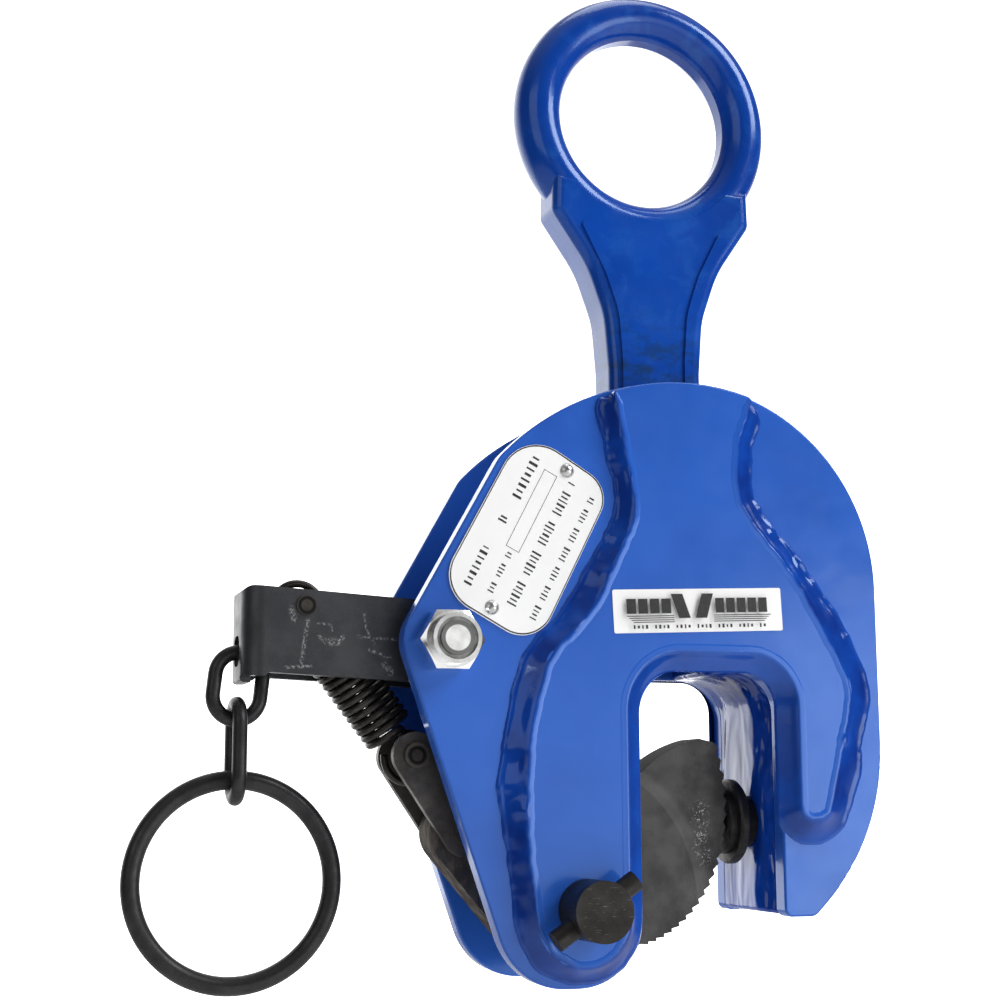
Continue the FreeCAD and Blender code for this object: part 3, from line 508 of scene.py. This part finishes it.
# ---------------------------------------------------------------- tension spring
UPPER_PIN = Vector((SPRING_PIN_AXIS[0], 0, SPRING_PIN_AXIS[1]))
LOWER_PIN = Vector((TOGGLE_PIN_AXIS[0], 0, TOGGLE_PIN_AXIS[1]))
WIRE_RADIUS = 1.18
WIRE_SIDES = 12
COIL_RADIUS = 7.5
COIL_TURNS = 16
STEPS_PER_TURN = 26
COIL_START = 8.0
COIL_STOP = 8.4
LOOP_STEPS = 43
LOOP_GAP = 10
LOOP_SWEEP = 305
LOOP_SHIFT = 0.6
SMOOTHING_ROUNDS = 3


def spring_path():
    """Middle line of the wire: a loop round the upper pin, the coils, and the lower loop."""
    along = (LOWER_PIN - UPPER_PIN).normalized()
    across = Vector((-along.z, 0, along.x))
    depth = Vector((0, 1, 0))
    length = (LOWER_PIN - UPPER_PIN).length - COIL_STOP - COIL_START
    path = []
    for step in range(LOOP_STEPS + 1):
        angle = math.radians(-LOOP_GAP - LOOP_SWEEP * (1 - step / LOOP_STEPS))
        path.append(UPPER_PIN + along * (COIL_RADIUS * math.cos(angle) - LOOP_SHIFT)
                    - across * COIL_RADIUS * math.sin(angle))
    steps = COIL_TURNS * STEPS_PER_TURN
    for step in range(3, steps - 3):
        part = step / steps
        angle = 2 * math.pi * COIL_TURNS * part
        path.append(UPPER_PIN + along * (COIL_START + length * part)
                    + across * COIL_RADIUS * math.cos(angle)
                    + depth * COIL_RADIUS * math.sin(angle))
    for step in range(LOOP_STEPS + 1):
        angle = math.radians(LOOP_GAP + LOOP_SWEEP * step / LOOP_STEPS)
        path.append(LOWER_PIN - along * (COIL_RADIUS * math.cos(angle) - LOOP_SHIFT)
                    + across * COIL_RADIUS * math.sin(angle))
    for _ in range(SMOOTHING_ROUNDS):
        middle = [path[i] * 0.5 + (path[i - 1] + path[i + 1]) * 0.25
                  for i in range(1, len(path) - 1)]
        path = [path[0]] + middle + [path[-1]]
    return path


verts, faces = tube_along(spring_path(), WIRE_RADIUS, WIRE_SIDES)
add_piece("wound_spring", verts, faces, spring_metal, "spring", ["cam_spring"])


# ---------------------------------------------------------------- weld beads
# Corners of the cover's outline: x, z and the corner's radius.
COVER_CORNERS = [
    (-22.4, -99.0, 1.5), (1.0, -91.6, 74.0), (24.6, -98.2, 1.5), (19.0, -115.0, 25.0),
    (18.6, -132.0, 14.0), (37.5, -154.5, 60.0), (56.6, -188.0, 10.0), (46.6, -229.4, 4.4),
    (37.2, -229.4, 4.0), (37.2, -178.6, 16.0), (-19.3, -178.6, 18.0), (-19.3, -271.4, 14.0),
    (-46.5, -271.4, 15.0), (-51.6, -234.0, 60.0), (-50.6, -203.0, 40.0), (-44.6, -180.8, 9.0),
    (-30.5, -167.5, 12.0), (-15.4, -137.0, 14.0),
]


def rounded_path(corners, step=1.0):
    """Closed polyline of straight runs with tangent arcs at the corners."""
    path = []
    count = len(corners)
    for i, (x, z, radius) in enumerate(corners):
        here = Vector((x, z))
        to_before = (Vector(corners[i - 1][:2]) - here).normalized()
        to_after = (Vector(corners[(i + 1) % count][:2]) - here).normalized()
        half = to_before.angle(to_after) / 2
        run = radius / math.tan(half)
        centre = here + (to_before + to_after).normalized() * radius / math.sin(half)
        start = here + to_before * run - centre
        sweep = (here + to_after * run - centre).angle_signed(start)
        pieces = max(3, int(abs(sweep) * radius / step))
        for k in range(pieces + 1):
            path.append(centre + Matrix.Rotation(sweep * k / pieces, 2) @ start)
    return path


def resample(path, step):
    """The path as points about `step` apart."""
    lengths = [0.0]
    for a, b in zip(path, path[1:]):
        lengths.append(lengths[-1] + (b - a).length)
    count = int(lengths[-1] / step)
    result = []
    index = 0
    for k in range(count + 1):
        target = lengths[-1] * k / count
        while index < len(path) - 2 and lengths[index + 1] < target:
            index += 1
        gap = max(lengths[index + 1] - lengths[index], 1e-9)
        result.append(path[index].lerp(path[index + 1], (target - lengths[index]) / gap))
    return result


# How far the weld spreads from the cover: even in the mouth, and by height (z, spread)
# down the left and the right leg.
MOUTH_TOE = 5.7
LEFT_TOES = [(-98, 5.2), (-115, 4.2), (-131, 4.2), (-146, 5.2), (-160, 6.2), (-180, 6.4),
             (-195, 6.2), (-208, 7.0), (-222, 7.4), (-236, 5.6), (-256, 6.0), (-268, 5.4),
             (-272, 5.4)]
RIGHT_TOES = [(-98, 6.2), (-119, 7.0), (-132, 7.2), (-147, 7.4), (-160, 8.4), (-185, 8.8),
              (-196, 9.6), (-214, 10.2), (-226, 8.0), (-230, 7.6)]


def toe_distance(point):
    """How far the weld spreads from the edge of the cover, by place on the plate."""
    x, z = point
    at_finger_tip = x > 36 and z < -228
    if -25 < x < 38.5 and -262 < z < -176.5 and not at_finger_tip:
        return MOUTH_TOE
    toes = LEFT_TOES if x < 0 else RIGHT_TOES
    for (z0, w0), (z1, w1) in zip(toes, toes[1:]):
        if z1 <= z <= z0:
            return w0 + (w1 - w0) * (z0 - z) / (z0 - z1)
    return toes[0][1] if z > toes[0][0] else toes[-1][1]


# Section of the weld: place across it and height over the side plate. Places below 0 are
# millimetres over the cover, and places above 0 are parts of the spread.
PROFILE = [(-2.6, 4.9), (-2.3, 5.04), (-1.7, 5.12), (-1.1, 5.2), (-0.6, 5.22), (-0.15, 5.06),
           (0.06, 4.72), (0.14, 4.25), (0.23, 3.65), (0.33, 3.0), (0.44, 2.4), (0.55, 1.85),
           (0.66, 1.36), (0.76, 0.98), (0.84, 0.72), (0.90, 0.52), (0.95, 0.22), (0.985, -0.05),
           (1.02, -0.4)]


EASE_STEPS = 24


def ease(path, reach, keep_from, keep_to):
    """The path with its corners eased, less and less towards the stretch that is kept."""
    result = []
    for i, point in enumerate(path):
        side = min(reach, i, len(path) - 1 - i)
        near = path[i - side:i + side + 1]
        away = max(keep_from - i, i - keep_to, 0)
        amount = min(1.0, away / EASE_STEPS) ** 1.5
        result.append(point.lerp(sum(near, Vector((0, 0))) / len(near), amount))
    return result


# Drips on the front weld: x, z, radius and height.
WELD_LUMPS = [(-21.6, -113.6, 1.9, 0.9), (-15.6, -125.4, 2.0, 1.0), (31.4, -140.2, 2.2, 1.2),
              (41.0, -149.5, 1.6, 0.7), (-26.2, -155.0, 1.6, 0.8), (-34.4, -171.6, 1.8, 0.8),
              (-52.5, -226.0, 2.2, 0.8), (53.6, -205.0, 1.8, 0.8), (-25.2, -101.4, 1.4, 0.8)]


def lump_lift(place):
    """Height added by the drips that stand on the weld, in millimetres."""
    total = 0.0
    for x, z, radius, height in WELD_LUMPS:
        gap = (place.x - x) ** 2 + (place.y - z) ** 2
        total += height * math.exp(-gap / (radius * radius))
    return total


WELD_START = Vector((-21.9, -99.6))
WELD_STOP = Vector((24.2, -99.0))
WELD_STEP = 0.9
END_STEPS = 4
COVER_FACE_LIFT = 5.03
HIGHEST_LIFT = 5.9


def weld_path():
    """The cover's outline from its top left corner, down round the legs, to its top right."""
    loop = rounded_path(COVER_CORNERS)
    first, last = (min(range(len(loop)), key=lambda i: (loop[i] - corner).length)
                   for corner in (WELD_START, WELD_STOP))
    ordered = loop[first:] + loop[:first]
    stop = ordered.index(loop[last])
    path = resample([ordered[0]] + ordered[stop:][::-1], WELD_STEP)
    mouth = [i for i, p in enumerate(path) if toe_distance(p) == MOUTH_TOE]
    return ease(path, 7, mouth[0] - 8, mouth[-1] + 8)


def weld_bead(name, sign, seed, stands_for):
    """One uneven run of weld round a cover, with how much painted shade each vertex takes."""
    path = weld_path()
    verts = []
    faces = []
    painted_weld_shade = []
    columns = len(PROFILE)
    for i, point in enumerate(path):
        ahead = path[min(i + 2, len(path) - 1)]
        behind = path[max(i - 2, 0)]
        run = (ahead - behind).normalized()
        out = Vector((run.y, -run.x))
        nearby = path[max(i - 3, 0):i + 4]
        spread = sum(toe_distance(p) for p in nearby) / len(nearby)
        in_mouth = min(1.0, sum(toe_distance(p) == MOUTH_TOE for p in nearby) / 7)
        wobble = noise.noise(Vector((point.x * 0.07, point.y * 0.07, seed)))
        ripple = noise.noise(Vector((point.x * 0.21, point.y * 0.21, seed + 9)))
        grain = noise.noise(Vector((point.x * 0.5, point.y * 0.5, seed + 21)))
        free = 1.0 - in_mouth
        spread += (wobble * 1.5 + ripple * 0.7 + grain * 0.25) * free
        end = min(i, len(path) - 1 - i)
        close = (end / END_STEPS) ** 0.5 if end < END_STEPS else 1.0
        for u, height in PROFILE:
            offset = u + (ripple * 0.5 + grain * 0.3) * free if u < 0 else u * spread
            lift = height
            if 0 < u < 0.99:
                lump = noise.noise(Vector((point.x * 0.16 + u * 2, point.y * 0.16, seed + 4)))
                lift += (lump * 0.45 + ripple * 0.3) * math.sin(math.pi * u) ** 0.7 * free
            if 0.8 < u < 0.93:
                lift += (0.22 + 0.25 * grain) * free
            if u < 0:
                lift -= max(0.0, lift - COVER_FACE_LIFT) * in_mouth
            if height < 5:
                lift = lift * close
            place = point + out * offset * (0.4 + 0.6 * close)
            if -0.5 < u < 0.96:
                lift = min(lift + lump_lift(place) * (sign > 0), HIGHEST_LIFT)
            verts.append((place.x, -sign * (PLATE_FACE + lift), place.y))
            # Painted shade: full on the slopes, less in the mouth, fading over the cover and at
            # the toe.
            deep = 1.0 - 0.35 * in_mouth
            if u < 0:
                painted_weld_shade.append(min(1.0, max(0.0, (u + 2.3) / 2.6)) ** 1.5 * deep)
            else:
                painted_weld_shade.append(deep - 0.45 * max(0.0, u - 0.7) / 0.3 * free)
    for i in range(len(path) - 1):
        for k in range(columns - 1):
            a = i * columns + k
            faces.append((a, a + 1, a + columns + 1, a + columns))
    piece = add_piece(name, verts, faces, bead_paint, "frame", [stands_for])
    shade = piece.data.color_attributes.new("painted_weld_shade", "FLOAT_COLOR", "POINT")
    for item, value in zip(shade.data, painted_weld_shade):
        item.color = (value, value, value, 1.0)


weld_bead("front_weld_run", 1, 1.3, "front_weld_beads")
weld_bead("rear_weld_run", -1, 7.9, "rear_weld_beads")


# ---------------------------------------------------------------- printed marks
def print_marks(name, shapes, origin, angle, face):
    """Flat inked shapes, each a list of (u, v) corners in millimetres, on a plate's front."""
    tilt = math.radians(angle)
    verts = []
    faces = []
    for shape in shapes:
        first = len(verts)
        for u, v in shape:
            verts.append((origin[0] + u * math.cos(tilt) + v * math.sin(tilt), -face,
                          origin[1] + u * math.sin(tilt) - v * math.cos(tilt)))
        faces.append(tuple(range(first, len(verts))))
    add_piece(name, verts, faces, print_and_shadow_black, "frame", smooth=False)


def block(u0, u1, v0, v1, slant=0.0):
    """A four-sided shape whose upper side is moved along by `slant`."""
    return [(u0 + slant, v0), (u1 + slant, v0), (u1, v1), (u0, v1)]


def frame_lines(u0, u1, v0, v1, width):
    """The four sides of an empty box."""
    return [block(u0, u1, v0, v0 + width), block(u0, u1, v1 - width, v1),
            block(u0, u0 + width, v0, v1), block(u1 - width, u1, v0, v1)]


STROKE_HEIGHTS = (1.0, 0.72, 0.9)


def dashes(start, stop, middle, height, widths, gap):
    """A row of upright strokes, as a stand-in for a line of print.

    The stroke widths repeat, and a negative width leaves a space.
    """
    shapes = []
    at = start
    index = 0
    while at < stop:
        width = widths[index % len(widths)]
        if width > 0:
            tall = height * STROKE_HEIGHTS[index % len(STROKE_HEIGHTS)] / 2
            shapes.append(block(at, min(at + width, stop), middle - tall, middle + tall))
        at += abs(width) + gap
        index += 1
    return shapes


NAME_MARKS = (
    dashes(-21.8, -9.0, -10.3, 2.6, (0.7, 0.5, 0.9, 0.5), 1.1)
    + dashes(0.2, 2.0, -9.6, 2.9, (0.6,), 0.6)
    + dashes(9.0, 24.0, -9.0, 3.0, (0.8, 0.55, 0.9, 0.6), 1.2)
    + dashes(-20.4, -6.6, -3.1, 2.0, (0.45, 0.4, 0.6, -0.9, 0.4), 0.75)
    + frame_lines(-5.6, 21.3, -5.2, -0.6, 0.16)
    + dashes(-20.6, 21.8, 4.4, 3.2, (0.5, 0.45, 0.7, 0.4, 0.5, 0.6, -1.4), 0.85)
    + dashes(-21.2, 21.6, 12.2, 2.2, (0.4, 0.5, 0.35, 0.6, -0.9), 0.8)
)
print_marks("nameplate_marks", NAME_MARKS, (-48.7, -145.2), 62.5, NAMEPLATE_PRINT_FACE)


def plate_rim(corners, width, face):
    """A thin dark line round the edge of the nameplate, as a painted shadow."""
    outer = rounded_path(corners, 1.2)
    middle = sum(outer, Vector((0, 0))) / len(outer)
    inner = [p + (middle - p).normalized() * width for p in outer]
    count = len(outer)
    verts = [(p.x, -face, p.y) for p in outer] + [(p.x, -face, p.y) for p in inner]
    faces = [(i, (i + 1) % count, count + (i + 1) % count, count + i) for i in range(count)]
    add_piece("nameplate_rim", verts, faces, print_and_shadow_black, "frame")


# Corners of the nameplate: x, z and the corner's radius.
NAME_CORNERS = [(-50.0, -111.7, 12.3), (-21.8, -128.9, 8.8), (-46.6, -178.3, 10.3),
                (-77.1, -161.4, 10.8)]
# Painted shadow: a dark line round the nameplate's edge.
plate_rim(NAME_CORNERS, 0.45, NAMEPLATE_RIM_FACE)

LABEL_MARKS = (
    [block(u, u + 3.1, -3.6, 0.9) for u in (-24.0, -20.2, -16.4, -12.6)]
    + [block(u, u + 2.9, -3.6, 0.9) for u in (5.2, 8.8, 12.4, 16.0, 19.6)]
    + [block(-7.0, -3.2, -5.0, 2.4, slant=-2.4), block(-1.6, 2.2, -5.0, 2.4, slant=2.4)]
    + [block(-24.0 + 0.7 * k, -8.6, 1.5 + 0.62 * k, 1.75 + 0.62 * k) for k in range(4)]
    + [block(4.4, 23.6 - 0.7 * k, 1.5 + 0.62 * k, 1.75 + 0.62 * k) for k in range(4)]
    + dashes(-22.0, 22.4, 4.9, 1.2, (0.55, 0.7, 0.45, 0.7, -0.8), 0.75)
)
print_marks("label_marks", LABEL_MARKS, (4.3, -166.0), 2.4, LABEL_PRINT_FACE)


# ---------------------------------------------------------------- camera, light, floor
CAMERA_ANGLES = (-17.654, -9.615, -0.215)
CAMERA_PLACE = (-219.13, -532.94, -224.30)
LIGHT_TARGET = (-0.03, 0, -0.14)
SOFTBOXES = [
    ("key_light", (1.2, -0.9, 1.0), 0.9, 0.9, 22),
    ("fill_light", (-1.1, -1.0, 0.35), 1.0, 1.0, 3),
    ("low_light", (0.9, -1.0, -0.25), 0.8, 0.5, 3),
    ("top_light", (0.15, 0.1, 1.2), 0.9, 0.7, 5),
]
FLOOR_LEVEL = -0.75
FLOOR_REACH = 2.4


def add_camera():
    """A camera at the given azimuth, elevation and roll in degrees, and place."""
    azimuth, elevation, roll = (math.radians(v) for v in CAMERA_ANGLES)
    back = Vector((math.sin(azimuth) * math.cos(elevation),
                   -math.cos(azimuth) * math.cos(elevation), math.sin(elevation)))
    right = Vector((math.cos(azimuth), math.sin(azimuth), 0))
    up = back.cross(right)
    across = right * math.cos(roll) + up * math.sin(roll)
    upward = up * math.cos(roll) - right * math.sin(roll)
    data = bpy.data.cameras.new("photo_camera")
    data.sensor_width = 36.0
    data.lens = 64.8
    data.clip_start = 0.01
    data.clip_end = 50.0
    camera = bpy.data.objects.new("photo_camera", data)
    pose = Matrix((across, upward, back)).transposed().to_4x4()
    pose.translation = Vector(CAMERA_PLACE) * MM
    camera.matrix_world = pose
    bpy.context.scene.collection.objects.link(camera)
    bpy.context.scene.camera = camera
    bpy.context.scene.view_settings.view_transform = "Standard"


def add_softboxes():
    """Large soft lights that all face the clamp."""
    for name, place, width, height, power in SOFTBOXES:
        data = bpy.data.lights.new(name, "AREA")
        data.shape = "RECTANGLE"
        data.size = width
        data.size_y = height
        data.energy = power
        light = bpy.data.objects.new(name, data)
        light.location = place
        aim = Vector(LIGHT_TARGET) - Vector(place)
        light.rotation_euler = aim.to_track_quat("-Z", "Y").to_euler()
        bpy.context.scene.collection.objects.link(light)


def add_world():
    """White to the camera; for the lights a bright backdrop, a pale table and a ceiling."""
    world = bpy.data.worlds.new("studio_world")
    bpy.context.scene.world = world
    world.use_nodes = True
    nodes = world.node_tree.nodes
    links = world.node_tree.links
    background = nodes["Background"]
    coords = nodes.new("ShaderNodeTexCoord")
    split = nodes.new("ShaderNodeSeparateXYZ")
    links.new(coords.outputs["Generated"], split.inputs[0])

    def soft_step(axis, low, high, top):
        """0 to `top` while the direction's part along an axis goes from low to high."""
        node = nodes.new("ShaderNodeMapRange")
        node.interpolation_type = "SMOOTHSTEP"
        node.inputs["From Min"].default_value = low
        node.inputs["From Max"].default_value = high
        node.inputs["To Min"].default_value = 0.0
        node.inputs["To Max"].default_value = top
        links.new(split.outputs[axis], node.inputs["Value"])
        return node.outputs[0]

    def join(operation, a, b):
        node = nodes.new("ShaderNodeMath")
        node.operation = operation
        for socket, value in zip(node.inputs, (a, b)):
            if isinstance(value, float):
                socket.default_value = value
            else:
                links.new(value, socket)
        return node.outputs[0]

    backdrop = soft_step("Y", 0.35, 0.95, 2.4)
    table = join("MULTIPLY", soft_step("Z", 0.26, -0.14, 1.0), soft_step("X", -0.45, 0.35, 1.5))
    table = join("MULTIPLY", table, soft_step("X", 1.0, 0.70, 1.0))
    ceiling = soft_step("Z", 0.55, 0.95, 0.35)
    glow = join("ADD", join("MAXIMUM", backdrop, join("MAXIMUM", table, ceiling)), 0.06)
    seen = nodes.new("ShaderNodeLightPath").outputs["Is Camera Ray"]
    links.new(join("MAXIMUM", glow, seen), background.inputs["Strength"])
    background.inputs["Color"].default_value = (1, 1, 1, 1)


def add_floor():
    """A plain pale disc below the clamp."""
    mesh = bpy.data.meshes.new("studio_floor")
    turns = [math.radians(a) for a in range(0, 360, 3)]
    rim = [(FLOOR_REACH * math.cos(a), FLOOR_REACH * math.sin(a), FLOOR_LEVEL) for a in turns]
    mesh.from_pydata(rim, [], [tuple(range(len(rim)))])
    pale = Mat("floor_pale", Roughness=0.9)
    cloud = pale.noise(300, 2.0, 0.5)
    mesh.materials.append(pale.finish(pale.mix(cloud, (0.93, 0.93, 0.93), (0.95, 0.95, 0.95))))
    floor = bpy.data.objects.new("studio_floor", mesh)
    bpy.context.scene.collection.objects.link(floor)


add_camera()
add_softboxes()
add_world()
add_floor()
